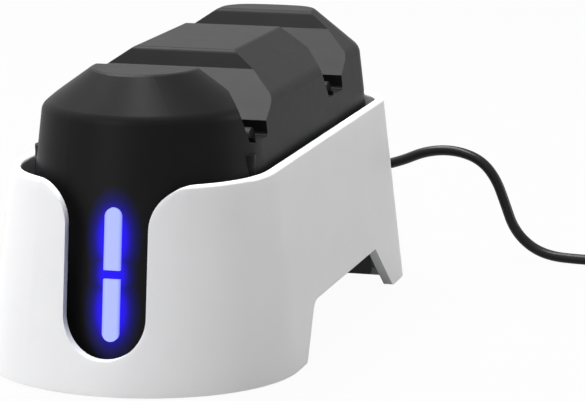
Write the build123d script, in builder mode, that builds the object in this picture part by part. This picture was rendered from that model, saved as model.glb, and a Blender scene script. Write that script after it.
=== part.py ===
from build123d import *

import os
from math import atan2, cos, pi, radians, sin, sqrt, tan

# Two-bay charging dock: a pale drafted sleeve round a dark cradle with two lean-back bays,
# two light bars behind a front cut-out, and a supply cord from the rear wall.
# X is across the dock, Y runs from the nose (negative) to the rear, and Z is up from the table.

# Sleeve
LENGTH = 180.0
WIDTH = 84.0
FOOT_PROUD = 0.6
RIM_Z = 54.4
DRAFT = 6.5
SHELL_WALL = 2.7
SHELL_NOSE_BLEND = 4.0
SHELL_CORNER_R = 25.0
BACK_R = 140.0
RIM_ROUND = 0.9

# Front cut-out of the sleeve
CUT_HALF = 11.2
CUT_BOTTOM_Z = 9.6
CUT_FLARE_R = 11.0
CUT_REACH = 40.0

# Side arches of the sleeve, seen from the side
ARCH_TOP_Z = 14.6
ARCH_FRONT_FROM_NOSE = 48.0
ARCH_FRONT_RUN = 13.0
ARCH_REAR_FROM_BACK = 36.0
ARCH_REAR_RUN = 15.0
ARCH_ROUND = 7.0
ARCH_FOOT_ROUND = 2.5

# Lip inside the sleeve's lower edge, which carries the feet
LIP_WIDTH = 10.0
LIP_THICK = 2.4
LIP_FRONT_LENGTH = 32.0
LIP_REAR_LENGTH = 24.0
FOOT_R = 4.0
FOOT_SUNK = 1.0
FRONT_FOOT_X = 21.0
REAR_FOOT_X = 25.0

# Cradle housing
HOUSING_WALL = 2.4
SIDE_GAP = 2.3
FRONT_GAP = 4.2
REAR_GAP = 1.3
HOUSING_NOSE_BLEND = -1.4
HOUSING_CORNER_R = 24.0
HOUSING_FLOOR_Z = 15.2
SHOULDER_Z = 70.0
TOP_Z = 80.3
SHOULDER_ROUND = 4.0
TOP_ROUND = 1.6
TOP_HALF = 14.2
TOP_FRONT_FROM_NOSE = 24.4
TOP_REAR_FROM_BACK = 14.5
TOP_CORNER_R = 9.0
TOP_BACK_R = 40.0
APRON_HALF = 17.0
APRON_Z = 3.6
EDGE_PICK = 0.01

# Bays: upright front wall with flared ends, flat floor, short lip, lean-back face, steeper top band
BAY_FRONT_FROM_NOSE = 40.6
BAY_PITCH = 78.9
BAY_FLOOR_Z = 61.1
BAY_FLOOR_LENGTH = 10.6
BAY_LIP_Z = 65.2
BAY_BAND_Z = 75.8
BAY_BAND_BACK = 29.0
BAY_TOP_BACK = 32.4
BAY_TOP_ROUND = 2.4
BAY_TOP_RUN = 4.0
BAY_EDGE_ROUND = 1.2
BAY_FLOOR_THICK = 2.6
BEAD_R = 3.4
BEAD_PROUD = 3.0
BEAD_LENGTH = 12.0
FLARE_FLOOR_X = 27.8
FLARE_RUN = 2.1
FLARE_LEAN = 0.4

# Contact blocks in the bay floors
BLOCK_LONG = 18.0
BLOCK_WIDE = 6.6
BLOCK_PROUD = 1.2
BLOCK_ROUND = 1.6
BLOCK_FIT = 0.2
BLOCK_FLANGE = 2.0
BLOCK_FLANGE_THICK = 1.6
CONTACT_R = 0.9
CONTACT_TIP_ROUND = 0.7
CONTACT_PITCH = 9.0
CONTACT_PROUD = 1.4
CONTACT_TAIL = 3.0

# Light bars and the board behind them
BAR_WIDE = 4.5
BAR_LONG = 16.0
BAR_GAP = 2.4
BAR_LOW_Z = 13.2
BAR_PROUD = 0.4
BAR_DEPTH_FROM_NOSE = 16.2
LED_SIZE = 3.2
LED_THICK = 1.0
LED_GAP = 0.3
LED_PITCH = 8.0
LED_BOARD_HALF = 9.0
LED_BOARD_MARGIN = 3.0
BOARD_THICK = 1.6
POST_R = 2.2
POST_X = 6.2

# Base plate, charging board and fasteners
PLATE_THICK = 2.0
PLATE_FIT = 0.2
PLATE_CLEAR = 1.5
SKIRT_FROM_BACK = 24.5
SKIRT_THICK = 2.0
SKIRT_Z = 1.2
BOSS_R = 4.0
BOSS_X = 26.5
FRONT_BOSS_FROM_NOSE = 38.0
REAR_BOSS_FROM_BACK = 34.0
TAB_THICK = 2.6
TAB_HALF = 5.5
TAB_FIT = 0.1
SCREW_R = 1.5
SCREW_LONG = 14.0
SCREW_HEAD_R = 2.8
SCREW_HEAD = 1.8
HOLE_FIT = 0.15
STANDOFF = 4.0
STANDOFF_R = 3.0
BOARD_HALF = 20.0
BOARD_LONG = 84.0
BOARD_FROM_NOSE = 56.0
BOARD_HOLE_INSET = 4.0
BOARD_SCREW_R = 1.1
BOARD_SCREW_HEAD_R = 2.0
BOARD_SCREW_HEAD = 1.2
BOARD_SCREW_LONG = 5.0
CHIP_LONG = 6.0
CHIP_WIDE = 5.0
CHIP_THICK = 1.6
CHIP_X = -10.0
INDUCTOR_WIDE = 7.0
INDUCTOR_THICK = 3.0
INDUCTOR_ROUND = 1.4
INDUCTOR_X = 7.0
CIRCUIT_PITCH = 34.0
HEADER_LONG = 10.0
HEADER_WIDE = 5.0
HEADER_THICK = 5.5
HEADER_WALL = 1.0
HEADER_INSET = 2.5

# Supply cord
CORD_D = 3.2
CORD_FIT = 0.05
CORD_EXIT_Z = 25.6
GLAND_R = 4.2
GLAND_FIT = 0.1
GLAND_SEAT_R = 7.0
GLAND_SEAT = 1.0
GLAND_FLANGE_R = 6.2
GLAND_FLANGE_THICK = 2.0
GLAND_BOOT = 9.0
GLAND_BOOT_TIP_R = 2.7
CORD_SUNK = 6.0
CORD_LEAD = 11.0
COIL_R = 17.0
COIL_SECTION_R = 4.6
COIL_CENTRE = (119.0, 78.8)
COIL_LEAD = 19.0
PLUG_LEAD = 18.0
PLUG_THICK = 8.4
PLUG_WIDE = 15.6
PLUG_LONG = 24.0
PLUG_BOOT = 6.0
PLUG_BOOT_R = 3.0
PLUG_ROUND = 1.8
TONGUE_WIDE = 12.0
TONGUE_THICK = 4.5
TONGUE_LONG = 11.8
TONGUE_WALL = 0.4
TONGUE_CORE = 1.9

# Worked out from the sizes above
HALF = WIDTH / 2
NOSE = -LENGTH / 2
REAR = LENGTH / 2
LEAN = tan(radians(DRAFT))
NOSE_TURN = -radians(60)
SHELL_Z = FOOT_PROUD
BAY_STARTS = (NOSE + BAY_FRONT_FROM_NOSE, NOSE + BAY_FRONT_FROM_NOSE + BAY_PITCH)
CAVITY_TOP = BAY_FLOOR_Z - BAY_FLOOR_THICK
PLATE_Z = HOUSING_FLOOR_Z
PLATE_TOP = PLATE_Z + PLATE_THICK
BOSS_LINES = (NOSE + FRONT_BOSS_FROM_NOSE, REAR - REAR_BOSS_FROM_BACK)
BOSS_PLACES = [(side * BOSS_X, along) for along in BOSS_LINES for side in (-1, 1)]
CORD_R = CORD_D / 2
SKIRT_HALF = HALF - SHELL_WALL - SIDE_GAP - LEAN * (PLATE_TOP - SHELL_Z) - HOUSING_WALL - PLATE_FIT
BOARD_Y = NOSE + BOARD_FROM_NOSE + BOARD_LONG / 2
BOARD_Z = PLATE_TOP + STANDOFF
BOARD_TOP = BOARD_Z + BOARD_THICK
BOARD_HOLES = [
    (x * (BOARD_HALF - BOARD_HOLE_INSET), BOARD_Y + y * (BOARD_LONG / 2 - BOARD_HOLE_INSET))
    for x in (-1, 1)
    for y in (-1, 1)
]


def outline(half, front, rear, blend, corner_r, back_r):
    """Closed plan: a three-arc nose, straight sides and a three-arc back."""
    nose_r = half + blend
    cheek_r = half - blend
    nose_y = front + nose_r
    cheek_y = nose_y + 2 * blend * sin(NOSE_TURN)
    corner_x = half - corner_r
    back_y = rear - back_r
    corner_y = back_y + sqrt((back_r - corner_r) ** 2 - corner_x**2)
    back_turn = atan2(corner_y - back_y, corner_x)

    def on(cx, cy, r, turn):
        return (cx + r * cos(turn), cy + r * sin(turn))

    nose_end = on(0, nose_y, nose_r, NOSE_TURN)
    cheek_mid = on(blend, cheek_y, cheek_r, NOSE_TURN / 2)
    corner_mid = on(corner_x, corner_y, corner_r, back_turn / 2)
    back_end = on(0, back_y, back_r, back_turn)
    ThreePointArc((-nose_end[0], nose_end[1]), (0, front), nose_end)
    ThreePointArc((0, rear), on(0, back_y, back_r, (back_turn + radians(90)) / 2), back_end)
    for side in (-1, 1):
        start = (side * nose_end[0], nose_end[1])
        cheek = (side * half, cheek_y)
        corner = (side * half, corner_y)
        end = (side * back_end[0], back_end[1])
        ThreePointArc(start, (side * cheek_mid[0], cheek_mid[1]), cheek)
        Line(cheek, corner)
        ThreePointArc(corner, (side * corner_mid[0], corner_mid[1]), end)
    other = on(0, back_y, back_r, (back_turn + radians(90)) / 2)
    ThreePointArc((0, rear), (-other[0], other[1]), (-back_end[0], back_end[1]))


def shell_plan(z, inset=0.0):
    """Sleeve outline at height z, drawn in by an inset."""
    drawn = inset + LEAN * (z - SHELL_Z)
    outline(
        HALF - drawn,
        NOSE + drawn,
        REAR - drawn,
        SHELL_NOSE_BLEND,
        SHELL_CORNER_R - drawn,
        BACK_R - drawn,
    )


def housing_plan(z, inset=0.0):
    """Cradle outline at height z, drawn in by an inset."""
    drawn = inset + LEAN * (z - SHELL_Z)
    outline(
        HALF - SHELL_WALL - SIDE_GAP - drawn,
        NOSE + SHELL_WALL + FRONT_GAP + drawn,
        REAR - SHELL_WALL - REAR_GAP - drawn,
        HOUSING_NOSE_BLEND,
        HOUSING_CORNER_R - drawn,
        BACK_R - drawn,
    )


def housing_front(z):
    """Outer front of the cradle on the centre line."""
    return NOSE + SHELL_WALL + FRONT_GAP + LEAN * (z - SHELL_Z)


def shell_rear(z):
    """Outer rear of the sleeve on the centre line."""
    return REAR - LEAN * (z - SHELL_Z)


def housing_rear(z):
    """Outer rear of the cradle on the centre line."""
    return shell_rear(z) - SHELL_WALL - REAR_GAP


def facing_front(y):
    """Upright plane across the dock that faces the nose."""
    return Plane((0, y, 0), x_dir=(1, 0, 0), z_dir=(0, -1, 0))


def bar_profile(low, high, round_low, fit=0.0):
    """Upright bar with one rounded end, grown by a fit."""
    r = BAR_WIDE / 2 + fit
    if round_low:
        turn, tip, flat = low + BAR_WIDE / 2, low - fit, high + fit
    else:
        turn, tip, flat = high - BAR_WIDE / 2, high + fit, low - fit
    Polyline((-r, turn), (-r, flat), (r, flat), (r, turn))
    ThreePointArc((-r, turn), (0, tip), (r, turn))


LOWER_BAR = (BAR_LOW_Z, BAR_LOW_Z + BAR_LONG, True)
UPPER_BAR = (BAR_LOW_Z + BAR_LONG + BAR_GAP, BAR_LOW_Z + 2 * BAR_LONG + BAR_GAP, False)
BAR_BACK = NOSE + BAR_DEPTH_FROM_NOSE
LED_FRONT = BAR_BACK + LED_GAP
LED_BOARD_FRONT = LED_FRONT + LED_THICK
LED_BOARD_LOW = BAR_LOW_Z - LED_BOARD_MARGIN
LED_BOARD_HIGH = UPPER_BAR[1] + LED_BOARD_MARGIN
POST_PLACES = [(POST_X, LED_BOARD_HIGH - LED_BOARD_MARGIN), (-POST_X, LED_BOARD_LOW + LED_BOARD_MARGIN)]

POCKET_BACK = LED_BOARD_FRONT + BOARD_THICK + BOARD_SCREW_HEAD + PLATE_CLEAR
APRON_BACK = POCKET_BACK + HOUSING_WALL
GLAND_SEAT_Y = housing_rear(CORD_EXIT_Z + GLAND_SEAT_R) - HOUSING_WALL - GLAND_SEAT
GLAND_ROOT = shell_rear(CORD_EXIT_Z)
GLAND_END = GLAND_ROOT + GLAND_BOOT
CORD_START_Y = GLAND_END - CORD_SUNK
COIL_ENTRY_X = COIL_CENTRE[0] - COIL_LEAD
COIL_ENTRY_Y = COIL_CENTRE[1] + COIL_R + CORD_D
PLUG_X = COIL_CENTRE[0] + COIL_R
PLUG_Y = COIL_CENTRE[1] - PLUG_LEAD
PLUG_Z = PLUG_THICK / 2

# Feet stand on the middle of the sleeve's lip
FOOT_INSET = SHELL_WALL + LIP_WIDTH / 2
FRONT_FOOT_R = HALF - FOOT_INSET
FRONT_FOOT_Y = NOSE + HALF - sqrt(FRONT_FOOT_R**2 - FRONT_FOOT_X**2)
REAR_FOOT_Y = REAR - FOOT_INSET
FOOT_PLACES = {
    "front_left_foot": (-FRONT_FOOT_X, FRONT_FOOT_Y),
    "front_right_foot": (FRONT_FOOT_X, FRONT_FOOT_Y),
    "rear_left_foot": (-REAR_FOOT_X, REAR_FOOT_Y),
    "rear_right_foot": (REAR_FOOT_X, REAR_FOOT_Y),
}

os.makedirs("parts", exist_ok=True)


def keep(builder, name):
    """Label a finished piece and write it."""
    builder.part.label = name
    export_step(builder.part, f"parts/{name}.step")


# Sleeve with its front cut-out, side arches, lip and fixing tabs
with BuildPart() as outer_shell:
    with BuildSketch(Plane.XY.offset(SHELL_Z)):
        with BuildLine():
            shell_plan(SHELL_Z)
        make_face()
    extrude(amount=RIM_Z - SHELL_Z, taper=DRAFT)
    with BuildSketch(Plane.XY.offset(SHELL_Z)):
        with BuildLine():
            shell_plan(SHELL_Z, SHELL_WALL)
        make_face()
    extrude(amount=RIM_Z - SHELL_Z, taper=DRAFT, mode=Mode.SUBTRACT)
    rim_edges = outer_shell.edges().group_by(Axis.Z)[-1]
    fillet(rim_edges, RIM_ROUND)
    with BuildSketch(Plane.XY.offset(SHELL_Z)):
        with BuildLine():
            shell_plan(SHELL_Z, SHELL_WALL / 2)
        make_face()
        with BuildLine():
            shell_plan(SHELL_Z, SHELL_WALL + LIP_WIDTH)
        make_face(mode=Mode.SUBTRACT)
        lip_gap = LENGTH - LIP_FRONT_LENGTH - LIP_REAR_LENGTH
        with Locations((0, NOSE + LIP_FRONT_LENGTH + lip_gap / 2)):
            Rectangle(WIDTH, lip_gap, mode=Mode.SUBTRACT)
    extrude(amount=LIP_THICK)
    with BuildSketch(Plane.XY.offset(SHELL_Z)):
        with Locations(*FOOT_PLACES.values()):
            Circle(FOOT_R)
    extrude(amount=FOOT_SUNK, mode=Mode.SUBTRACT)
    with BuildSketch(Plane.XY.offset(PLATE_Z - TAB_FIT - TAB_THICK)):
        tab_long = HALF - SHELL_WALL / 2 - LEAN * PLATE_Z - BOSS_X + TAB_HALF
        for side in (-1, 1):
            for along in BOSS_LINES:
                with Locations((side * (BOSS_X - TAB_HALF + tab_long / 2), along)):
                    Rectangle(tab_long, 2 * TAB_HALF)
        with Locations(*BOSS_PLACES):
            Circle(SCREW_R + HOLE_FIT, mode=Mode.SUBTRACT)
    extrude(amount=TAB_THICK)
    with BuildSketch(facing_front(NOSE + CUT_REACH)):
        with BuildLine():
            flare_z = RIM_Z - CUT_FLARE_R
            flare_x = CUT_HALF + CUT_FLARE_R
            diagonal = CUT_FLARE_R * sqrt(0.5)
            for side in (-1, 1):
                Line((side * CUT_HALF, CUT_BOTTOM_Z + CUT_HALF), (side * CUT_HALF, flare_z))
                ThreePointArc(
                    (side * CUT_HALF, flare_z),
                    (side * (flare_x - diagonal), flare_z + diagonal),
                    (side * flare_x, RIM_Z),
                )
            ThreePointArc(
                (-CUT_HALF, CUT_BOTTOM_Z + CUT_HALF),
                (0, CUT_BOTTOM_Z),
                (CUT_HALF, CUT_BOTTOM_Z + CUT_HALF),
            )
            Line((-flare_x, RIM_Z), (flare_x, RIM_Z))
        make_face()
    extrude(amount=CUT_REACH, mode=Mode.SUBTRACT)
    with BuildSketch(Plane.YZ.offset(-HALF)) as arch:
        with BuildLine():
            arch_front = NOSE + ARCH_FRONT_FROM_NOSE
            arch_rear = REAR - ARCH_REAR_FROM_BACK
            Polyline(
                (NOSE, 0),
                (NOSE, SHELL_Z),
                (arch_front, SHELL_Z),
                (arch_front + ARCH_FRONT_RUN, ARCH_TOP_Z),
                (arch_rear - ARCH_REAR_RUN, ARCH_TOP_Z),
                (arch_rear, SHELL_Z),
                (REAR, SHELL_Z),
                (REAR, 0),
                close=True,
            )
        make_face()
        fillet(arch.vertices().group_by(Axis.Y)[-1].sort_by(Axis.X)[0], ARCH_ROUND)
        fillet(arch.vertices().group_by(Axis.Y)[1].sort_by(Axis.X)[1:3], ARCH_FOOT_ROUND)
    extrude(amount=WIDTH, mode=Mode.SUBTRACT)
    with BuildSketch(facing_front(REAR)):
        with Locations((0, CORD_EXIT_Z)):
            Circle(GLAND_R + GLAND_FIT)
    extrude(amount=LIP_REAR_LENGTH, mode=Mode.SUBTRACT)
keep(outer_shell, "outer_shell")

# Cradle housing: one moulding with two bays, open below
with BuildPart() as cradle_housing:
    with BuildSketch(Plane.XY.offset(APRON_Z)):
        with BuildLine():
            housing_plan(APRON_Z)
        make_face()
    extrude(amount=SHOULDER_Z - APRON_Z, taper=DRAFT)
    with BuildSketch(Plane.XY.offset(SHOULDER_Z)):
        with BuildLine():
            housing_plan(SHOULDER_Z)
        make_face()
    with BuildSketch(Plane.XY.offset(TOP_Z)):
        with BuildLine():
            outline(
                TOP_HALF,
                NOSE + TOP_FRONT_FROM_NOSE,
                REAR - TOP_REAR_FROM_BACK,
                HOUSING_NOSE_BLEND,
                TOP_CORNER_R,
                TOP_BACK_R,
            )
        make_face()
    loft(ruled=True)
    shoulder_edges = cradle_housing.edges().filter_by_position(
        Axis.Z, SHOULDER_Z - EDGE_PICK, SHOULDER_Z + EDGE_PICK
    )
    fillet(shoulder_edges, SHOULDER_ROUND)
    fillet(cradle_housing.edges().group_by(Axis.Z)[-1], TOP_ROUND)
    for bay in BAY_STARTS:
        with BuildSketch(Plane.YZ.offset(-HALF)) as bay_profile:
            with BuildLine():
                Polyline(
                    (bay, TOP_Z + TOP_ROUND),
                    (bay, BAY_FLOOR_Z),
                    (bay + BAY_FLOOR_LENGTH, BAY_FLOOR_Z),
                    (bay + BAY_FLOOR_LENGTH, BAY_LIP_Z),
                    (bay + BAY_BAND_BACK, BAY_BAND_Z),
                    (bay + BAY_TOP_BACK, TOP_Z),
                    (bay + BAY_TOP_BACK + BAY_TOP_RUN, TOP_Z),
                    (bay + BAY_TOP_BACK + BAY_TOP_RUN, TOP_Z + TOP_ROUND),
                    close=True,
                )
            make_face()
            fillet(bay_profile.vertices().group_by(Axis.Y)[0], BAY_EDGE_ROUND)
            fillet(bay_profile.vertices().group_by(Axis.Y)[-2].sort_by(Axis.X)[0], BAY_TOP_ROUND)
        extrude(amount=WIDTH, mode=Mode.SUBTRACT)
        for z in (BAY_FLOOR_Z, TOP_Z + TOP_ROUND):
            flare_x = FLARE_FLOOR_X - FLARE_LEAN * (z - BAY_FLOOR_Z)
            with BuildSketch(Plane.XY.offset(z)):
                with BuildLine():
                    Polyline((flare_x, bay), (HALF, bay), (HALF, bay - FLARE_RUN * (HALF - flare_x)), close=True)
                make_face()
        flare = loft(ruled=True, mode=Mode.SUBTRACT)
        mirror(flare, about=Plane.YZ, mode=Mode.SUBTRACT)
    with BuildSketch(Plane.XY.offset(HOUSING_FLOOR_Z)):
        with BuildLine():
            housing_plan(HOUSING_FLOOR_Z, HOUSING_WALL)
        make_face()
    extrude(amount=CAVITY_TOP - HOUSING_FLOOR_Z, taper=DRAFT, mode=Mode.SUBTRACT)
    with BuildSketch(Plane.XY.offset(APRON_Z + HOUSING_WALL)):
        with BuildLine():
            housing_plan(HOUSING_FLOOR_Z, HOUSING_WALL)
        make_face()
        with Locations((0, (NOSE + POCKET_BACK) / 2)):
            Rectangle(2 * (APRON_HALF - HOUSING_WALL), POCKET_BACK - NOSE, mode=Mode.INTERSECT)
    extrude(amount=HOUSING_FLOOR_Z - APRON_Z - HOUSING_WALL, mode=Mode.SUBTRACT)
    with BuildSketch(Plane.XY.offset(APRON_Z)):
        with Locations((0, (APRON_BACK + REAR) / 2)):
            Rectangle(WIDTH, REAR - APRON_BACK)
        for side in (-1, 1):
            with Locations((side * (APRON_HALF + HALF) / 2, 0)):
                Rectangle(HALF - APRON_HALF, LENGTH)
    extrude(amount=HOUSING_FLOOR_Z - APRON_Z, mode=Mode.SUBTRACT)
    with BuildSketch(Plane.XY.offset(PLATE_TOP)):
        with Locations(*BOSS_PLACES):
            Circle(BOSS_R)
    extrude(amount=CAVITY_TOP - PLATE_TOP)
    with BuildSketch(Plane.XY.offset(PLATE_TOP)):
        with Locations(*BOSS_PLACES):
            Circle(SCREW_R)
    extrude(amount=SCREW_LONG, mode=Mode.SUBTRACT)
    for bay in BAY_STARTS:
        bead_y = bay + BAY_FLOOR_LENGTH / 2
        bead_end = HALF - SHELL_WALL - SIDE_GAP - LEAN * (BAY_FLOOR_Z - SHELL_Z) - BEAD_PROUD
        with BuildSketch(Plane.YZ.offset(bead_end - BEAD_LENGTH)):
            with Locations((bead_y, BAY_FLOOR_Z + BEAD_PROUD - BEAD_R)):
                Circle(BEAD_R)
            with Locations((bead_y, BAY_FLOOR_Z - BEAD_R)):
                Rectangle(4 * BEAD_R, 2 * BEAD_R, mode=Mode.SUBTRACT)
        bead = extrude(amount=BEAD_LENGTH)
        mirror(bead, about=Plane.YZ)
        with BuildSketch(Plane.XY.offset(BAY_FLOOR_Z)):
            with Locations((0, bead_y)):
                RectangleRounded(BLOCK_LONG + 2 * BLOCK_FIT, BLOCK_WIDE + 2 * BLOCK_FIT, BLOCK_ROUND)
        extrude(amount=-BAY_FLOOR_THICK, mode=Mode.SUBTRACT)
    for post in POST_PLACES:
        with BuildSketch(facing_front(LED_BOARD_FRONT)):
            with Locations(post):
                Circle(POST_R)
        extrude(amount=LED_BOARD_FRONT - housing_front(post[1]) - HOUSING_WALL / 2)
    with BuildSketch(facing_front(LED_BOARD_FRONT)):
        with Locations(*POST_PLACES):
            Circle(BOARD_SCREW_R)
    extrude(amount=BOARD_SCREW_LONG - BOARD_THICK, mode=Mode.SUBTRACT)
    with BuildSketch(facing_front(BAR_BACK)):
        for bar in (LOWER_BAR, UPPER_BAR):
            with BuildLine():
                bar_profile(*bar, fit=HOLE_FIT)
            make_face()
    extrude(amount=BAR_DEPTH_FROM_NOSE, mode=Mode.SUBTRACT)
    with BuildSketch(facing_front(GLAND_SEAT_Y)):
        with Locations((0, CORD_EXIT_Z)):
            Circle(GLAND_SEAT_R)
    extrude(amount=GLAND_SEAT_Y - housing_rear(CORD_EXIT_Z) + HOUSING_WALL / 2)
    with BuildSketch(facing_front(GLAND_SEAT_Y)):
        with Locations((0, CORD_EXIT_Z)):
            Circle(GLAND_R + GLAND_FIT)
    extrude(amount=GLAND_SEAT_Y - REAR, mode=Mode.SUBTRACT)
keep(cradle_housing, "cradle_housing")

# Base plate with standoffs for the charging board
with BuildPart() as base_plate:
    with BuildSketch(Plane.XY.offset(PLATE_Z)):
        with BuildLine():
            housing_plan(PLATE_TOP, HOUSING_WALL + PLATE_FIT)
        make_face()
        notch_back = APRON_BACK + PLATE_FIT
        with Locations((0, (NOSE + notch_back) / 2)):
            Rectangle(2 * (APRON_HALF + PLATE_FIT), notch_back - NOSE, mode=Mode.SUBTRACT)
        with Locations(*BOSS_PLACES):
            Circle(SCREW_R + HOLE_FIT, mode=Mode.SUBTRACT)
    extrude(amount=PLATE_THICK)
    with BuildSketch(Plane.XY.offset(PLATE_TOP)):
        with Locations(*BOARD_HOLES):
            Circle(STANDOFF_R)
    extrude(amount=STANDOFF)
    with BuildSketch(Plane.XY.offset(BOARD_Z)):
        with Locations(*BOARD_HOLES):
            Circle(BOARD_SCREW_R)
    extrude(amount=BOARD_THICK - BOARD_SCREW_LONG, mode=Mode.SUBTRACT)
    with BuildSketch(Plane.XY.offset(SKIRT_Z)):
        with Locations((0, REAR - SKIRT_FROM_BACK - SKIRT_THICK / 2)):
            Rectangle(2 * SKIRT_HALF, SKIRT_THICK)
    extrude(amount=PLATE_Z - SKIRT_Z)
keep(base_plate, "base_plate")

# Screws that clamp the sleeve's tabs and the base plate to the cradle
with BuildPart() as housing_screws:
    tab_low = PLATE_Z - TAB_FIT - TAB_THICK
    with BuildSketch(Plane.XY.offset(tab_low)):
        with Locations(*BOSS_PLACES):
            Circle(SCREW_R)
    extrude(amount=SCREW_LONG)
    with BuildSketch(Plane.XY.offset(tab_low)):
        with Locations(*BOSS_PLACES):
            Circle(SCREW_HEAD_R)
    extrude(amount=-SCREW_HEAD)
keep(housing_screws, "housing_screws")

# Feet under the sleeve's lip
for foot_name, foot_place in FOOT_PLACES.items():
    with BuildPart() as foot:
        with BuildSketch():
            with Locations(foot_place):
                Circle(FOOT_R)
        extrude(amount=SHELL_Z + FOOT_SUNK)
    keep(foot, foot_name)

# Light bars, trimmed a little proud of the cradle's front wall
for bar_name, bar in (("upper_light_bar", UPPER_BAR), ("lower_light_bar", LOWER_BAR)):
    with BuildPart() as light_bar:
        with BuildSketch(facing_front(BAR_BACK)):
            with BuildLine():
                bar_profile(*bar)
            make_face()
        extrude(amount=BAR_DEPTH_FROM_NOSE)
        with BuildSketch(Plane.XY.offset(APRON_Z)):
            with BuildLine():
                housing_plan(APRON_Z, -BAR_PROUD)
            make_face()
        extrude(amount=SHOULDER_Z - APRON_Z, taper=DRAFT, mode=Mode.INTERSECT)
    keep(light_bar, bar_name)

# Board that lights the bars, on two posts behind the front wall
with BuildPart() as led_board:
    with BuildSketch(facing_front(LED_BOARD_FRONT + BOARD_THICK)):
        with Locations((0, (LED_BOARD_LOW + LED_BOARD_HIGH) / 2)):
            Rectangle(2 * LED_BOARD_HALF, LED_BOARD_HIGH - LED_BOARD_LOW)
        with Locations(*POST_PLACES):
            Circle(BOARD_SCREW_R + HOLE_FIT, mode=Mode.SUBTRACT)
    extrude(amount=BOARD_THICK)
keep(led_board, "led_board")

for led_name, bar in (("upper_leds", UPPER_BAR), ("lower_leds", LOWER_BAR)):
    with BuildPart() as leds:
        with BuildSketch(facing_front(LED_BOARD_FRONT)):
            with Locations((0, (bar[0] + bar[1]) / 2)):
                with GridLocations(0, LED_PITCH, 1, 2):
                    Rectangle(LED_SIZE, LED_SIZE)
        extrude(amount=LED_THICK)
    keep(leds, led_name)

with BuildPart() as led_board_screws:
    with BuildSketch(facing_front(LED_BOARD_FRONT + BOARD_THICK)):
        with Locations(*POST_PLACES):
            Circle(BOARD_SCREW_R)
    extrude(amount=BOARD_SCREW_LONG)
    with BuildSketch(facing_front(LED_BOARD_FRONT + BOARD_THICK)):
        with Locations(*POST_PLACES):
            Circle(BOARD_SCREW_HEAD_R)
    extrude(amount=-BOARD_SCREW_HEAD)
keep(led_board_screws, "led_board_screws")

# Charging board with its parts, screwed to the base plate
with BuildPart() as charging_board:
    with BuildSketch(Plane.XY.offset(BOARD_Z)):
        with Locations((0, BOARD_Y)):
            Rectangle(2 * BOARD_HALF, BOARD_LONG)
        with Locations(*BOARD_HOLES):
            Circle(BOARD_SCREW_R + HOLE_FIT, mode=Mode.SUBTRACT)
    extrude(amount=BOARD_THICK)
keep(charging_board, "charging_board")

with BuildPart() as board_screws:
    with BuildSketch(Plane.XY.offset(BOARD_TOP)):
        with Locations(*BOARD_HOLES):
            Circle(BOARD_SCREW_R)
    extrude(amount=-BOARD_SCREW_LONG)
    with BuildSketch(Plane.XY.offset(BOARD_TOP)):
        with Locations(*BOARD_HOLES):
            Circle(BOARD_SCREW_HEAD_R)
    extrude(amount=BOARD_SCREW_HEAD)
keep(board_screws, "board_screws")

for place, circuit_y in (("front", BOARD_Y - CIRCUIT_PITCH / 2), ("rear", BOARD_Y + CIRCUIT_PITCH / 2)):
    with BuildPart() as chip:
        with BuildSketch(Plane.XY.offset(BOARD_TOP)):
            with Locations((CHIP_X, circuit_y)):
                Rectangle(CHIP_WIDE, CHIP_LONG)
        extrude(amount=CHIP_THICK)
    keep(chip, f"{place}_charge_chip")
    with BuildPart() as inductor:
        with BuildSketch(Plane.XY.offset(BOARD_TOP)):
            with Locations((INDUCTOR_X, circuit_y)):
                RectangleRounded(INDUCTOR_WIDE, INDUCTOR_WIDE, INDUCTOR_ROUND)
        extrude(amount=INDUCTOR_THICK)
    keep(inductor, f"{place}_inductor")

with BuildPart() as cord_header:
    with BuildSketch(Plane.XY.offset(BOARD_TOP)):
        with Locations((0, BOARD_Y + BOARD_LONG / 2 - HEADER_INSET - HEADER_WIDE / 2)):
            Rectangle(HEADER_LONG, HEADER_WIDE)
    extrude(amount=HEADER_THICK)
    header_mouth = cord_header.faces().sort_by(Axis.Y)[-1]
    with BuildSketch(header_mouth):
        Rectangle(HEADER_LONG - 2 * HEADER_WALL, HEADER_THICK - 2 * HEADER_WALL)
    extrude(amount=HEADER_WALL - HEADER_WIDE, mode=Mode.SUBTRACT)
keep(cord_header, "cord_header")

# Contact blocks, pushed up into the bay floors from below, with two spring contacts each
for bay_name, bay in zip(("front", "rear"), BAY_STARTS):
    block_y = bay + BAY_FLOOR_LENGTH / 2
    contact_places = [(-CONTACT_PITCH / 2, block_y), (CONTACT_PITCH / 2, block_y)]
    block_low = CAVITY_TOP - BLOCK_FLANGE_THICK
    with BuildPart() as contact_block:
        with BuildSketch(Plane.XY.offset(block_low)):
            with Locations((0, block_y)):
                Rectangle(BLOCK_LONG + 2 * BLOCK_FLANGE, BLOCK_WIDE + 2 * BLOCK_FLANGE)
        extrude(amount=BLOCK_FLANGE_THICK)
        with BuildSketch(Plane.XY.offset(CAVITY_TOP)):
            with Locations((0, block_y)):
                RectangleRounded(BLOCK_LONG, BLOCK_WIDE, BLOCK_ROUND)
        extrude(amount=BAY_FLOOR_THICK + BLOCK_PROUD)
        with BuildSketch(Plane.XY.offset(block_low)):
            with Locations(*contact_places):
                Circle(CONTACT_R)
        extrude(amount=BLOCK_FLANGE_THICK + BAY_FLOOR_THICK + BLOCK_PROUD, mode=Mode.SUBTRACT)
    keep(contact_block, f"{bay_name}_contact_block")
    with BuildPart() as contacts:
        with BuildSketch(Plane.XY.offset(block_low - CONTACT_TAIL)):
            with Locations(*contact_places):
                Circle(CONTACT_R)
        extrude(amount=CONTACT_TAIL + BLOCK_FLANGE_THICK + BAY_FLOOR_THICK + BLOCK_PROUD + CONTACT_PROUD)
        fillet(contacts.edges().group_by(Axis.Z)[-1], CONTACT_TIP_ROUND)
    keep(contacts, f"{bay_name}_contacts")

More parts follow.
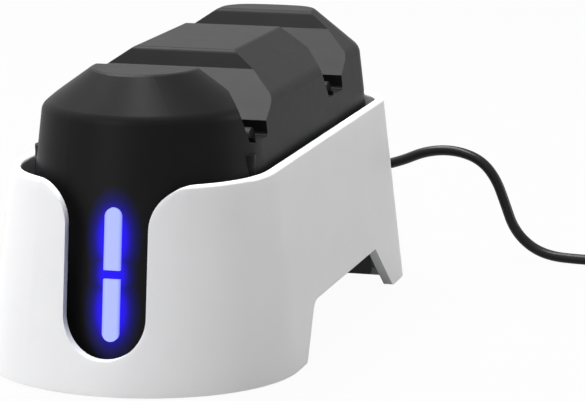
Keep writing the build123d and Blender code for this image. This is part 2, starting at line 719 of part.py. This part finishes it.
# Strain relief in the rear wall
with BuildPart() as cord_gland:
    with BuildSketch(facing_front(GLAND_SEAT_Y)):
        with Locations((0, CORD_EXIT_Z)):
            Circle(GLAND_FLANGE_R)
    extrude(amount=GLAND_FLANGE_THICK)
    with BuildSketch(facing_front(GLAND_SEAT_Y)):
        with Locations((0, CORD_EXIT_Z)):
            Circle(GLAND_R)
    extrude(amount=GLAND_SEAT_Y - GLAND_ROOT)
    with BuildSketch(facing_front(GLAND_ROOT)):
        with Locations((0, CORD_EXIT_Z)):
            Circle(GLAND_R)
    with BuildSketch(facing_front(GLAND_END)):
        with Locations((0, CORD_EXIT_Z)):
            Circle(GLAND_BOOT_TIP_R)
    loft()
    with BuildSketch(facing_front(GLAND_END)):
        with Locations((0, CORD_EXIT_Z)):
            Circle(CORD_R + CORD_FIT)
    extrude(amount=CORD_SUNK, mode=Mode.SUBTRACT)
keep(cord_gland, "cord_gland")

# Cord from the gland to the coil: each arc is as large as its two runs allow
CORD_ROUTE = [
    (0.0, CORD_START_Y, CORD_EXIT_Z),
    (0.0, CORD_START_Y + CORD_LEAD, CORD_EXIT_Z),
    (8.0, 109.5, 25.8),
    (20.0, 110.5, 24.4),
    (33.0, 107.0, 28.6),
    (43.7, 104.0, 33.0),
    (59.4, 102.0, 31.2),
    (66.0, 101.2, 20.0),
    (68.2, 100.8, 10.4),
    (78.0, 100.2, CORD_R),
    (89.0, COIL_ENTRY_Y, CORD_R),
    (COIL_ENTRY_X, COIL_ENTRY_Y, CORD_R),
]
BEND_SHARE = 0.45


def bend_radii(route):
    """Largest arc that each corner's two runs leave room for."""
    points = [Vector(*point) for point in route]
    runs = [end - start for start, end in zip(points, points[1:])]
    radii = []
    for before, after in zip(runs, runs[1:]):
        half_turn = radians(before.get_angle(after)) / 2
        radii.append(BEND_SHARE * min(before.length, after.length) / tan(half_turn))
    return radii


CORD_BENDS = bend_radii(CORD_ROUTE)
print("cord bend radii", [round(radius, 1) for radius in CORD_BENDS])

with BuildPart() as power_cord:
    with BuildLine() as cord_path:
        FilletPolyline(*CORD_ROUTE, radius=CORD_BENDS)
    with BuildSketch(Plane(cord_path.line @ 0, z_dir=cord_path.line % 0)):
        Circle(CORD_R)
    sweep()
cord_length = sum(edge.length for edge in cord_path.edges())
print("cord volume", power_cord.part.volume, "section times length", pi * CORD_R**2 * cord_length)
keep(power_cord, "power_cord")

# Spare cord in a flat ring on the table, with its two ends led out
with BuildPart() as cord_coil:
    with BuildSketch(Plane((*COIL_CENTRE, 0), x_dir=(1, 0, 0), z_dir=(0, -1, 0))):
        with Locations((COIL_R, COIL_SECTION_R)):
            Circle(COIL_SECTION_R)
    revolve(axis=Axis((*COIL_CENTRE, 0), (0, 0, 1)))
    with BuildSketch(Plane.YZ.offset(COIL_ENTRY_X)):
        with Locations((COIL_ENTRY_Y, CORD_R)):
            Circle(CORD_R)
    extrude(amount=COIL_LEAD)
    with BuildSketch(facing_front(COIL_CENTRE[1])):
        with Locations((PLUG_X, PLUG_Z)):
            Circle(CORD_R)
    extrude(amount=PLUG_LEAD)
keep(cord_coil, "cord_coil")

# Supply plug: moulded grip, metal shroud and contact carrier
with BuildPart() as plug_grip:
    with BuildSketch(facing_front(PLUG_Y)):
        with Locations((PLUG_X, PLUG_Z)):
            Circle(PLUG_BOOT_R)
    extrude(amount=PLUG_BOOT)
    with BuildSketch(facing_front(PLUG_Y - PLUG_BOOT)):
        with Locations((PLUG_X, PLUG_Z)):
            RectangleRounded(PLUG_WIDE, PLUG_THICK, PLUG_ROUND)
    extrude(amount=PLUG_LONG)
keep(plug_grip, "plug_grip")

with BuildPart() as plug_shroud:
    with BuildSketch(facing_front(PLUG_Y - PLUG_BOOT - PLUG_LONG)):
        with Locations((PLUG_X, PLUG_Z)):
            Rectangle(TONGUE_WIDE, TONGUE_THICK)
            Rectangle(TONGUE_WIDE - 2 * TONGUE_WALL, TONGUE_THICK - 2 * TONGUE_WALL, mode=Mode.SUBTRACT)
    extrude(amount=TONGUE_LONG)
keep(plug_shroud, "plug_shroud")

with BuildPart() as plug_carrier:
    carrier_low = PLUG_Z - TONGUE_THICK / 2 + TONGUE_WALL
    with BuildSketch(facing_front(PLUG_Y - PLUG_BOOT - PLUG_LONG)):
        with Locations((PLUG_X, carrier_low + TONGUE_CORE / 2)):
            Rectangle(TONGUE_WIDE - 2 * TONGUE_WALL, TONGUE_CORE)
    extrude(amount=TONGUE_LONG - TONGUE_WALL)
keep(plug_carrier, "plug_carrier")
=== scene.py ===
"""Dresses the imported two-bay charging dock: moulded finishes, lit bars, supply cord and a plain studio."""

from math import cos, radians, sin

import bpy
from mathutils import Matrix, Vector


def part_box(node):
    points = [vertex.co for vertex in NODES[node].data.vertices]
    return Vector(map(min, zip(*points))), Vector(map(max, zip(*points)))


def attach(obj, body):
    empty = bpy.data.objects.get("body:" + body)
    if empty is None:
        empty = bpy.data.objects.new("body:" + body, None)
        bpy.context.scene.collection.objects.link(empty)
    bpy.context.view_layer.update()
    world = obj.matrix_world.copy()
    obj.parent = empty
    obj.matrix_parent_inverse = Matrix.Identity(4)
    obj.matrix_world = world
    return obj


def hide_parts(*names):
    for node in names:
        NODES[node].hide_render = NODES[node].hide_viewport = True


bl_info = {
    "name": "Charging dock dresser",
    "version": (1, 0, 0),
    "blender": (4, 5, 0),
    "location": "3D View > Sidebar > Dock",
    "description": "Gives a two-bay controller charging dock its finishes, lit bars, supply cord and studio",
    "category": "Object",
}

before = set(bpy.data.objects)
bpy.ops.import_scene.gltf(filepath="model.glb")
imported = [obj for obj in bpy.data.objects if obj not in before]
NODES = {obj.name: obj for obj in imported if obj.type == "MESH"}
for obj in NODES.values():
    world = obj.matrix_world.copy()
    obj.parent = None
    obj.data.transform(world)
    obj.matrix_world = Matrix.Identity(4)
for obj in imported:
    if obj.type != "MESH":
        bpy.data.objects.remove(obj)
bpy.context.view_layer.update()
MM = 0.001

# The cord's route from the gland to the coil, in millimetres
CORD_ROUTE = [
    (0.0, 90.15, 25.6),
    (0.0, 101.15, 25.6),
    (8.0, 109.5, 25.8),
    (20.0, 110.5, 24.4),
    (31.0, 107.6, 27.6),
    (40.0, 105.0, 31.9),
    (49.4, 103.2, 33.0),
    (57.8, 102.1, 30.7),
    (62.9, 101.5, 25.2),
    (66.0, 101.2, 17.4),
    (68.8, 100.9, 9.8),
    (74.0, 100.5, 4.5),
    (80.5, 100.0, 1.9),
    (89.0, 99.0, 1.6),
    (100.0, 99.0, 1.6),
]

# Order in which the turns of the coil fill its section: steps across and layers up from the middle
COIL_SLOTS = [(1, 0), (0, 0), (-1, 0), (-0.5, 1), (-1, 2), (0, 2), (0.5, 1), (1, 2)]
# Height of a layer in diameters, where a turn lies in the groove between two others
LAYER_STEP = 0.866
# Degrees round the coil before the first step to a next slot, from one step to the next, and in a step
STEP_FIRST = 300.0
STEP_EVERY = 320.0
STEP_TAKES = 40.0
# Degrees past whole turns at which the cord leaves the coil
COIL_EXIT = 90.0
# Section radius of the ring that stands for the coil in the solids
RING_SECTION = 4.6 * MM

# The cord's last points: where it turns to the plug and straightens behind the grip, and its end inside it
PLUG_TURN = 9.0 * MM
PLUG_RUN = 4.0 * MM
PLUG_DEPTH = 1.0 * MM

# The coil's tie: room from the bundle to the middle of the strap, its width, thickness and rounded edge
TIE_ROOM = 0.35 * MM
TIE_WIDTH = 8.0 * MM
TIE_WALL = 0.6 * MM
TIE_EDGE = 0.2 * MM

WHITE = (1.0, 1.0, 1.0, 1.0)
FLOOR_COLOUR = (0.2, 0.2, 0.2)
# The floor lies this far below the feet, so that it doesn't share a plane with their undersides
FLOOR_DROP = 0.05 * MM

# Lamps that face the dock: name, place and width in metres, power in watts
LAMPS = [
    ("front softbox", (-0.65, -1.38, 0.5), 0.8, 11.6),
    ("side softbox", (1.4, 0.65, 0.45), 0.7, 7.6),
    ("top softbox", (-0.42, 0.3, 1.1), 0.75, 26.0),
    ("nose softbox", (-0.02, -0.18, 1.1), 0.35, 13.0),
]
LAMP_AIM = (0.0, 0.0, 0.04)

# The painted glow on the cradle round the bars fades over three ellipses: how far each goes past a
# bar's sides and ends, and the one round the gap between the bars past their sides, with its half height
BAR_GLOW = 2.7 * MM
END_GLOW = 0.6 * MM
GAP_GLOW = 2.1 * MM
GAP_GLOW_UP = 6.5 * MM
# Shares of the full glow at multiples of those ellipses, out to the last one
GLOW_REACH = 1.6
GLOW_FADE = [(0.47, 1.0), (0.7, 0.83), (0.85, 0.5), (1.0, 0.24), (1.16, 0.11), (1.32, 0.05), (1.6, 0.0)]


class DockFinishes(bpy.types.PropertyGroup):
    """Colours of the dock's mouldings, lights and cord."""

    shell: bpy.props.FloatVectorProperty(
        name="Sleeve",
        description="Colour of the pale sleeve",
        subtype="COLOR",
        min=0.0,
        max=1.0,
        default=(0.80, 0.80, 0.81),
    )
    cradle: bpy.props.FloatVectorProperty(
        name="Cradle",
        description="Colour of the dark cradle",
        subtype="COLOR",
        min=0.0,
        max=1.0,
        default=(0.009, 0.009, 0.0095),
    )
    bar: bpy.props.FloatVectorProperty(
        name="Bar light",
        description="Light that the middle of a bar gives off",
        subtype="COLOR",
        min=0.0,
        max=1.0,
        default=(0.36, 0.43, 0.98),
    )
    # Painted glow: the halo colour is emitted by the cradle's wall round the bars, for their light shining
    # through it
    halo: bpy.props.FloatVectorProperty(
        name="Halo",
        description="Light that shines through the wall round the bars",
        subtype="COLOR",
        min=0.0,
        max=1.0,
        default=(0.014, 0.0, 1.0),
    )
    cord: bpy.props.FloatVectorProperty(
        name="Cord",
        description="Colour of the cord's sheath",
        subtype="COLOR",
        min=0.0,
        max=1.0,
        default=(0.01, 0.01, 0.0105),
    )


class DockCord(bpy.types.PropertyGroup):
    """Sizes of the supply cord and its coil."""

    diameter: bpy.props.FloatProperty(
        name="Diameter",
        description="Thickness of the cord",
        subtype="DISTANCE",
        default=3.2 * MM,
    )
    length: bpy.props.FloatProperty(
        name="Length",
        description="Whole length of the cord from the gland to the plug",
        subtype="DISTANCE",
        default=0.95,
    )
    coil_radius: bpy.props.FloatProperty(
        name="Coil radius",
        description="Radius at the middle of the coil's turns",
        subtype="DISTANCE",
        default=17.0 * MM,
    )
    points_per_turn: bpy.props.IntProperty(
        name="Points in a turn",
        description="Control points in each turn of the coil",
        min=12,
        default=16,
    )
    lift: bpy.props.FloatProperty(
        name="Coil lift",
        description="Height of the lowest turn above the table, for the tie below it",
        subtype="DISTANCE",
        default=0.7 * MM,
    )


class DockStudio(bpy.types.PropertyGroup):
    """Camera, even light and floor."""

    camera_place: bpy.props.FloatVectorProperty(
        name="Camera",
        description="Where the camera stands",
        subtype="TRANSLATION",
        default=(0.25088, -0.80964, 0.20533),
    )
    camera_yaw: bpy.props.FloatProperty(
        name="Yaw",
        description="Turn of the camera about the upright",
        subtype="ANGLE",
        default=radians(15.516),
    )
    camera_pitch: bpy.props.FloatProperty(
        name="Pitch",
        description="How far the camera looks down",
        subtype="ANGLE",
        default=radians(11.405),
    )
    lens: bpy.props.FloatProperty(
        name="Lens",
        description="Focal length on a 36 mm sensor, in millimetres",
        default=188.88,
    )
    ambient: bpy.props.FloatProperty(
        name="Ambient",
        description="Strength of the even light all round",
        min=0.0,
        default=0.02,
    )
    floor_white: bpy.props.FloatProperty(
        name="Floor white",
        description="Share of plain white in what is seen of the floor",
        subtype="FACTOR",
        min=0.0,
        max=1.0,
        default=0.96,
    )


class Finish:
    """A new node material, with its shader and the object's own coordinates at hand."""

    def __init__(self, name, colour, roughness):
        self.material = bpy.data.materials.new(name)
        self.material.use_nodes = True
        self.nodes = self.material.node_tree.nodes
        self.links = self.material.node_tree.links
        self.shader = self.nodes["Principled BSDF"]
        self.place = self.add("ShaderNodeTexCoord").outputs["Object"]
        self.set("Base Color", (*colour, 1.0))
        self.set("Roughness", roughness)

    def add(self, kind, **inputs):
        """A node of that kind, with its inputs set or linked."""
        node = self.nodes.new(kind)
        for name, value in inputs.items():
            self.feed(node.inputs[name.replace("_", " ")], value)
        return node

    def feed(self, socket, value):
        """Link an output to a socket, or set the socket's own value."""
        if isinstance(value, bpy.types.NodeSocket):
            self.links.new(value, socket)
        else:
            socket.default_value = value

    def set(self, name, value):
        """Set or link one of the shader's sockets."""
        self.feed(self.shader.inputs[name], value)

    def math(self, operation, *values):
        """The result of a Math node."""
        node = self.nodes.new("ShaderNodeMath")
        node.operation = operation
        for socket, value in zip(node.inputs, values):
            self.feed(socket, value)
        return node.outputs["Value"]

    def noise(self, scale, detail=3.0):
        """Noise over the object's own coordinates, features about one over scale in metres."""
        return self.add("ShaderNodeTexNoise", Vector=self.place, Scale=scale, Detail=detail).outputs["Fac"]

    def ramp(self, factor, stops):
        """A colour ramp with the given places and colours."""
        node = self.nodes.new("ShaderNodeValToRGB")
        self.links.new(factor, node.inputs["Fac"])
        elements = node.color_ramp.elements
        while len(elements) < len(stops):
            elements.new(1.0)
        for element, (place, colour) in zip(elements, stops):
            element.position = place
            element.color = (*colour, 1.0)
        return node.outputs["Color"]

    def vary_colour(self, colour, scale, amount):
        """Let the base colour drift a little from place to place."""
        darker = tuple(channel * (1.0 - amount) for channel in colour)
        lighter = tuple(min(channel * (1.0 + amount), 1.0) for channel in colour)
        self.set("Base Color", self.ramp(self.noise(scale), [(0.3, darker), (0.7, lighter)]))

    def vary_roughness(self, low, high, scale):
        """Let the gloss drift a little from place to place."""
        drift = self.add("ShaderNodeMapRange", Value=self.noise(scale), To_Min=low, To_Max=high)
        self.set("Roughness", drift.outputs["Result"])

    def grain(self, scale, depth, strength):
        """Moulded grain: fine bumps of that depth."""
        bump = self.add("ShaderNodeBump", Height=self.noise(scale, 2.0), Strength=strength, Distance=depth)
        self.set("Normal", bump.outputs["Normal"])


def dress(finish, *names):
    """Give CAD nodes a finish."""
    for name in names:
        mesh = NODES[name].data
        mesh.materials.clear()
        mesh.materials.append(finish.material)


def shell_finish(colour):
    """Satin pale moulding."""
    finish = Finish("pale satin moulding", colour, 0.42)
    finish.set("Subsurface Weight", 0.25)
    finish.set("Subsurface Radius", (1.0, 1.0, 1.0))
    finish.set("Subsurface Scale", 2.0 * MM)
    finish.vary_colour(colour, scale=60.0, amount=0.012)
    finish.vary_roughness(0.38, 0.46, scale=140.0)
    finish.grain(scale=2600.0, depth=0.04 * MM, strength=0.18)
    return finish


def glow_ellipses():
    """Middle height, half width and half height of the glow round each bar and round the gap between them."""
    low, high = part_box("lower_light_bar"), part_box("upper_light_bar")
    bar_half = (high[1].x - high[0].x) / 2
    ellipses = []
    for bottom, top in (low, high):
        ellipses.append(((bottom.z + top.z) / 2, bar_half + BAR_GLOW, (top.z - bottom.z) / 2 + END_GLOW))
    ellipses.append(((low[1].z + high[0].z) / 2, bar_half + GAP_GLOW, GAP_GLOW_UP))
    return ellipses


def cradle_finish(colour, halo):
    """Dark fine-grained moulding with painted glow round the bars for their light, in front of their board.
    """
    finish = Finish("dark grained moulding with painted glow", colour, 0.42)
    finish.set("Specular IOR Level", 0.045)
    finish.vary_colour(colour, scale=90.0, amount=0.06)
    finish.vary_roughness(0.40, 0.45, scale=200.0)
    finish.grain(scale=3200.0, depth=0.05 * MM, strength=0.15)
    place = finish.add("ShaderNodeSeparateXYZ", Vector=finish.place).outputs
    nearest = 2.0 * GLOW_REACH
    for middle, half_across, half_up in glow_ellipses():
        across = finish.math("DIVIDE", place["X"], half_across)
        along = finish.math("DIVIDE", finish.math("SUBTRACT", place["Z"], middle), half_up)
        squares = finish.math("ADD", finish.math("POWER", across, 2.0), finish.math("POWER", along, 2.0))
        nearest = finish.math("MINIMUM", nearest, finish.math("SQRT", squares))
    reach = finish.math("DIVIDE", nearest, GLOW_REACH)
    stops = [(at / GLOW_REACH, tuple(channel * share for channel in halo)) for at, share in GLOW_FADE]
    behind = finish.math("GREATER_THAN", place["Y"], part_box("led_board")[0].y)
    # Painted glow: emission on the cradle round the bars, fading outwards, and none behind the front of the
    # LED board
    finish.set("Emission Color", finish.ramp(finish.math("ADD", reach, behind), stops))
    finish.set("Emission Strength", 1.0)
    return finish


def bar_finish(colour, halo):
    """Milky diffuser, bluer towards its edges."""
    finish = Finish("lit milky diffuser", (0.05, 0.05, 0.06), 0.5)
    place = finish.add("ShaderNodeSeparateXYZ", Vector=finish.place).outputs
    low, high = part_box("upper_light_bar")
    half_width = (high.x - low.x) / 2
    edge = finish.math("DIVIDE", finish.math("ABSOLUTE", place["X"]), half_width)
    soft = tuple((2 * a + b) / 3 for a, b in zip(colour, halo))
    finish.set("Emission Color", finish.ramp(edge, [(0.0, colour), (0.7, colour), (1.0, soft)]))
    finish.set("Emission Strength", 1.0)
    return finish


def cord_finish(colour):
    """Smooth dark sheath."""
    finish = Finish("smooth dark sheath", colour, 0.32)
    finish.set("Specular IOR Level", 0.13)
    finish.vary_roughness(0.3, 0.34, scale=300.0)
    finish.grain(scale=1500.0, depth=0.03 * MM, strength=0.2)
    return finish


def plain_finish(name, colour, roughness, metallic=0.0, grain=2000.0, shine=0.5):
    """A plain moulded, rubber or plated finish with fine grain."""
    finish = Finish(name, colour, roughness)
    finish.set("Metallic", metallic)
    finish.set("Specular IOR Level", shine)
    finish.vary_colour(colour, scale=150.0, amount=0.05)
    finish.vary_roughness(roughness * 0.9, min(roughness * 1.1, 1.0), scale=260.0)
    finish.grain(scale=grain, depth=0.03 * MM, strength=0.2)
    return finish


def board_finish():
    """Green masked laminate with a faint pattern of tracks."""
    mask, track = (0.02, 0.16, 0.08), (0.03, 0.24, 0.11)
    finish = Finish("masked laminate", mask, 0.32)
    tracks = finish.add("ShaderNodeTexBrick", Vector=finish.place, Scale=220.0)
    finish.set("Base Color", finish.ramp(tracks.outputs["Fac"], [(0.4, mask), (0.6, track)]))
    finish.vary_roughness(0.28, 0.36, scale=240.0)
    return finish


def coil_slot(turned, cord):
    """Radius and height on the coil after that many degrees, where each turn steps to the next slot."""
    passed = max(turned - STEP_FIRST, 0.0)
    index = min(int(passed / STEP_EVERY), len(COIL_SLOTS) - 2)
    into = min((passed - index * STEP_EVERY) / STEP_TAKES, 1.0)
    share = into * into * (3 - 2 * into)
    start, end = COIL_SLOTS[index], COIL_SLOTS[index + 1]
    across, up = (a + share * (b - a) for a, b in zip(start, end))
    radius = cord.coil_radius + across * cord.diameter
    return radius, cord.diameter / 2 + cord.lift + up * LAYER_STEP * cord.diameter


def coil_points(cord, centre):
    """Control points of the coil's turns, from its entry at the back to its exit at the right."""
    step = 360.0 / cord.points_per_turn
    # A spline of order 3 runs inside its points, so they stand that much further out
    outward = 1.0 / (0.75 + 0.25 * cos(radians(step)))
    turns = len(COIL_SLOTS) - 1
    last = 360.0 * turns + COIL_EXIT
    points = []
    turned = step / 2
    while turned <= last:
        radius, height = coil_slot(turned, cord)
        reach, angle = outward * radius, radians(turned)
        points.append((centre[0] + reach * sin(angle), centre[1] + reach * cos(angle), height))
        turned += step
    return points


class DOCK_OT_studio(bpy.types.Operator):
    """Make the camera, the floor, the even light and the lamps"""

    bl_idname = "dock.studio"
    bl_label = "Studio"

    def execute(self, context):
        studio = context.scene.dock_studio
        context.scene.view_settings.view_transform = "Standard"
        self.make_camera(context, studio)
        self.make_world(context, studio)
        self.make_floor(studio)
        for lamp in LAMPS:
            self.make_lamp(*lamp)
        return {"FINISHED"}

    def make_camera(self, context, studio):
        data = bpy.data.cameras.new("photo camera")
        data.sensor_width = 36.0
        data.lens = studio.lens
        data.clip_start = 0.05
        data.clip_end = 50.0
        camera = bpy.data.objects.new("photo camera", data)
        context.scene.collection.objects.link(camera)
        camera.location = studio.camera_place
        camera.rotation_euler = (radians(90.0) - studio.camera_pitch, 0.0, studio.camera_yaw)
        context.scene.camera = camera

    def seen_directly(self, tree):
        """One where a camera, mirror or glass ray looks, for a plain white background."""
        path = tree.nodes.new("ShaderNodeLightPath").outputs
        seen = path["Is Camera Ray"]
        for other in ("Is Glossy Ray", "Is Transmission Ray"):
            larger = tree.nodes.new("ShaderNodeMath")
            larger.operation = "MAXIMUM"
            tree.links.new(seen, larger.inputs[0])
            tree.links.new(path[other], larger.inputs[1])
            seen = larger.outputs["Value"]
        return seen

    def make_world(self, context, studio):
        world = bpy.data.worlds.new("studio")
        world.use_nodes = True
        context.scene.world = world
        tree = world.node_tree
        even = tree.nodes["Background"]
        even.inputs["Color"].default_value = WHITE
        even.inputs["Strength"].default_value = studio.ambient
        white = tree.nodes.new("ShaderNodeBackground")
        white.inputs["Color"].default_value = WHITE
        white.inputs["Strength"].default_value = 1.0
        mix = tree.nodes.new("ShaderNodeMixShader")
        tree.links.new(self.seen_directly(tree), mix.inputs["Fac"])
        tree.links.new(even.outputs["Background"], mix.inputs[1])
        tree.links.new(white.outputs["Background"], mix.inputs[2])
        tree.links.new(mix.outputs["Shader"], tree.nodes["World Output"].inputs["Surface"])

    def make_floor(self, studio):
        bpy.ops.object.select_all(action="DESELECT")
        bpy.ops.mesh.primitive_plane_add(size=8.0, location=(0.0, 0.0, -FLOOR_DROP))
        floor = bpy.context.object
        floor.name = "floor"
        finish = Finish("pale floor", FLOOR_COLOUR, 0.9)
        finish.vary_colour(FLOOR_COLOUR, scale=4.0, amount=0.01)
        tree = finish.material.node_tree
        white = finish.add("ShaderNodeEmission", Color=WHITE, Strength=1.0)
        share = finish.math("MULTIPLY", self.seen_directly(tree), studio.floor_white)
        mix = finish.add("ShaderNodeMixShader", Fac=share)
        tree.links.new(finish.shader.outputs["BSDF"], mix.inputs[1])
        tree.links.new(white.outputs["Emission"], mix.inputs[2])
        tree.links.new(mix.outputs["Shader"], tree.nodes["Material Output"].inputs["Surface"])
        floor.data.materials.append(finish.material)

    def make_lamp(self, name, place, size, power):
        data = bpy.data.lights.new(name, "AREA")
        data.shape = "DISK"
        data.size = size
        data.energy = power
        lamp = bpy.data.objects.new(name, data)
        bpy.context.scene.collection.objects.link(lamp)
        lamp.location = place
        lamp.rotation_euler = (Vector(LAMP_AIM) - Vector(place)).to_track_quat("-Z", "Y").to_euler()


class DOCK_OT_cord(bpy.types.Operator):
    """Lay the supply cord from the gland to its coil and plug, with the coil's tie"""

    bl_idname = "dock.cord"
    bl_label = "Supply cord"

    def execute(self, context):
        cord = context.scene.dock_cord
        finish = cord_finish(context.scene.dock_finishes.cord)
        low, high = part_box("cord_coil")
        grip_low, grip_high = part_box("plug_grip")
        centre = (high.x - cord.coil_radius - RING_SECTION, low.y + cord.coil_radius + RING_SECTION)
        points = [tuple(value * MM for value in point) for point in CORD_ROUTE]
        points += coil_points(cord, centre)
        plug_x, plug_z = (grip_low.x + grip_high.x) / 2, (grip_low.z + grip_high.z) / 2
        turn_end = points[-1]
        points.append(((turn_end[0] + plug_x) / 2, grip_high.y + PLUG_TURN, (turn_end[2] + plug_z) / 2))
        points.append((plug_x, grip_high.y + PLUG_RUN, plug_z))
        points.append((plug_x, grip_high.y - PLUG_DEPTH, plug_z))
        line = self.make_line(points, cord)
        line.data.materials.append(finish.material)
        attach(line, "root")
        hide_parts("power_cord", "cord_coil")
        tie = self.make_tie(cord, centre)
        dress(finish, "cord_gland")
        return {"FINISHED"}

    def make_line(self, points, cord):
        data = bpy.data.curves.new("supply_cord", "CURVE")
        data.dimensions = "3D"
        data.bevel_depth = cord.diameter / 2
        data.bevel_resolution = 4
        data.resolution_u = 6
        data.use_fill_caps = True
        spline = data.splines.new("NURBS")
        spline.points.add(len(points) - 1)
        for point, place in zip(spline.points, points):
            point.co = (*place, 1.0)
        spline.order_u = 3
        spline.use_endpoint_u = True
        line = bpy.data.objects.new("supply_cord", data)
        bpy.context.scene.collection.objects.link(line)
        return line

    def make_tie(self, cord, centre):
        """A soft strap round the coil's bundle."""
        half_across = 1.5 * cord.diameter + TIE_ROOM
        half_up = (1.0 + 2 * LAYER_STEP) * cord.diameter / 2 + TIE_ROOM
        place = (centre[0], centre[1] - cord.coil_radius, cord.lift + half_up - TIE_ROOM)
        bpy.ops.object.select_all(action="DESELECT")
        bpy.ops.mesh.primitive_cylinder_add(
            vertices=40,
            radius=1.0,
            depth=TIE_WIDTH,
            end_fill_type="NOTHING",
            location=place,
            rotation=(0.0, radians(90.0), 0.0),
        )
        tie = bpy.context.object
        tie.name = "coil_tie"
        tie.data.name = "coil_tie"
        tie.scale = (half_up, half_across, 1.0)
        bpy.ops.object.transform_apply(location=True, rotation=True, scale=True)
        wall = tie.modifiers.new("wall", "SOLIDIFY")
        wall.thickness = TIE_WALL
        wall.offset = 0.0
        bpy.ops.object.modifier_apply(modifier="wall")
        soft = tie.modifiers.new("soft edge", "BEVEL")
        soft.width = TIE_EDGE
        soft.segments = 2
        bpy.ops.object.modifier_apply(modifier="soft edge")
        bpy.ops.object.shade_smooth_by_angle(angle=radians(40.0))
        strap = plain_finish("woven strap", (0.02, 0.02, 0.022), 0.85, grain=1200.0)
        tie.data.materials.append(strap.material)
        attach(tie, "root")
        return tie


class DOCK_OT_sleeve(bpy.types.Operator):
    """Finish the pale sleeve"""

    bl_idname = "dock.sleeve"
    bl_label = "Sleeve"

    def execute(self, context):
        dress(shell_finish(context.scene.dock_finishes.shell), "outer_shell")
        return {"FINISHED"}


class DOCK_OT_cradle(bpy.types.Operator):
    """Finish the dark cradle, its bars and its contacts"""

    bl_idname = "dock.cradle"
    bl_label = "Cradle"

    def execute(self, context):
        colours = context.scene.dock_finishes
        dress(cradle_finish(colours.cradle, colours.halo), "cradle_housing")
        dress(bar_finish(colours.bar, colours.halo), "upper_light_bar", "lower_light_bar")
        blocks = plain_finish("black contact moulding", (0.012, 0.012, 0.012), 0.4, shine=0.1)
        dress(blocks, "front_contact_block", "rear_contact_block")
        gold = plain_finish("gold plating", (0.86, 0.62, 0.24), 0.25, metallic=1.0)
        dress(gold, "front_contacts", "rear_contacts")
        return {"FINISHED"}


class DOCK_OT_underside(bpy.types.Operator):
    """Finish the base plate, the feet and the fixing screws"""

    bl_idname = "dock.underside"
    bl_label = "Underside"

    def execute(self, context):
        dress(plain_finish("dark plate moulding", (0.12, 0.12, 0.122), 0.55, shine=0.2), "base_plate")
        rubber = plain_finish("foot rubber", (0.025, 0.025, 0.025), 0.8, grain=1400.0)
        dress(rubber, "front_left_foot", "front_right_foot", "rear_left_foot", "rear_right_foot")
        steel = plain_finish("plated steel", (0.5, 0.5, 0.52), 0.35, metallic=1.0)
        dress(steel, "housing_screws", "led_board_screws", "board_screws")
        return {"FINISHED"}


class DOCK_OT_electronics(bpy.types.Operator):
    """Finish the boards and what is on them"""

    bl_idname = "dock.electronics"
    bl_label = "Electronics"

    def execute(self, context):
        dress(board_finish(), "charging_board", "led_board")
        chips = plain_finish("moulded chip case", (0.02, 0.02, 0.02), 0.5)
        dress(chips, "front_charge_chip", "rear_charge_chip", "front_inductor", "rear_inductor")
        dress(plain_finish("natural nylon", (0.75, 0.72, 0.62), 0.45), "cord_header")
        dress(plain_finish("light source case", (0.8, 0.78, 0.5), 0.3), "upper_leds", "lower_leds")
        return {"FINISHED"}


class DOCK_OT_plug(bpy.types.Operator):
    """Finish the supply plug"""

    bl_idname = "dock.plug"
    bl_label = "Supply plug"

    def execute(self, context):
        dress(plain_finish("dark plug moulding", (0.014, 0.014, 0.015), 0.45, shine=0.1), "plug_grip")
        dress(plain_finish("plated plug shroud", (0.62, 0.62, 0.64), 0.22, metallic=1.0), "plug_shroud")
        dress(plain_finish("white carrier", (0.7, 0.7, 0.68), 0.45), "plug_carrier")
        return {"FINISHED"}


class DOCK_PT_panel(bpy.types.Panel):
    """Lists the dock's operators"""

    bl_idname = "DOCK_PT_panel"
    bl_label = "Charging dock"
    bl_space_type = "VIEW_3D"
    bl_region_type = "UI"
    bl_category = "Dock"

    def draw(self, context):
        for operator in OPERATORS:
            self.layout.operator(operator.bl_idname)


OPERATORS = (
    DOCK_OT_studio,
    DOCK_OT_cord,
    DOCK_OT_sleeve,
    DOCK_OT_cradle,
    DOCK_OT_underside,
    DOCK_OT_electronics,
    DOCK_OT_plug,
)
GROUPS = {"dock_finishes": DockFinishes, "dock_cord": DockCord, "dock_studio": DockStudio}


def register():
    for group in GROUPS.values():
        bpy.utils.register_class(group)
    for name, group in GROUPS.items():
        setattr(bpy.types.Scene, name, bpy.props.PointerProperty(type=group))
    for operator in OPERATORS:
        bpy.utils.register_class(operator)
    bpy.utils.register_class(DOCK_PT_panel)


def unregister():
    bpy.utils.unregister_class(DOCK_PT_panel)
    for operator in reversed(OPERATORS):
        bpy.utils.unregister_class(operator)
    for name, group in reversed(GROUPS.items()):
        delattr(bpy.types.Scene, name)
        bpy.utils.unregister_class(group)


def main():
    register()
    bpy.ops.dock.studio()
    bpy.ops.dock.cord()
    bpy.ops.dock.sleeve()
    bpy.ops.dock.cradle()
    bpy.ops.dock.underside()
    bpy.ops.dock.electronics()
    bpy.ops.dock.plug()


if __name__ == "__main__":
    main()
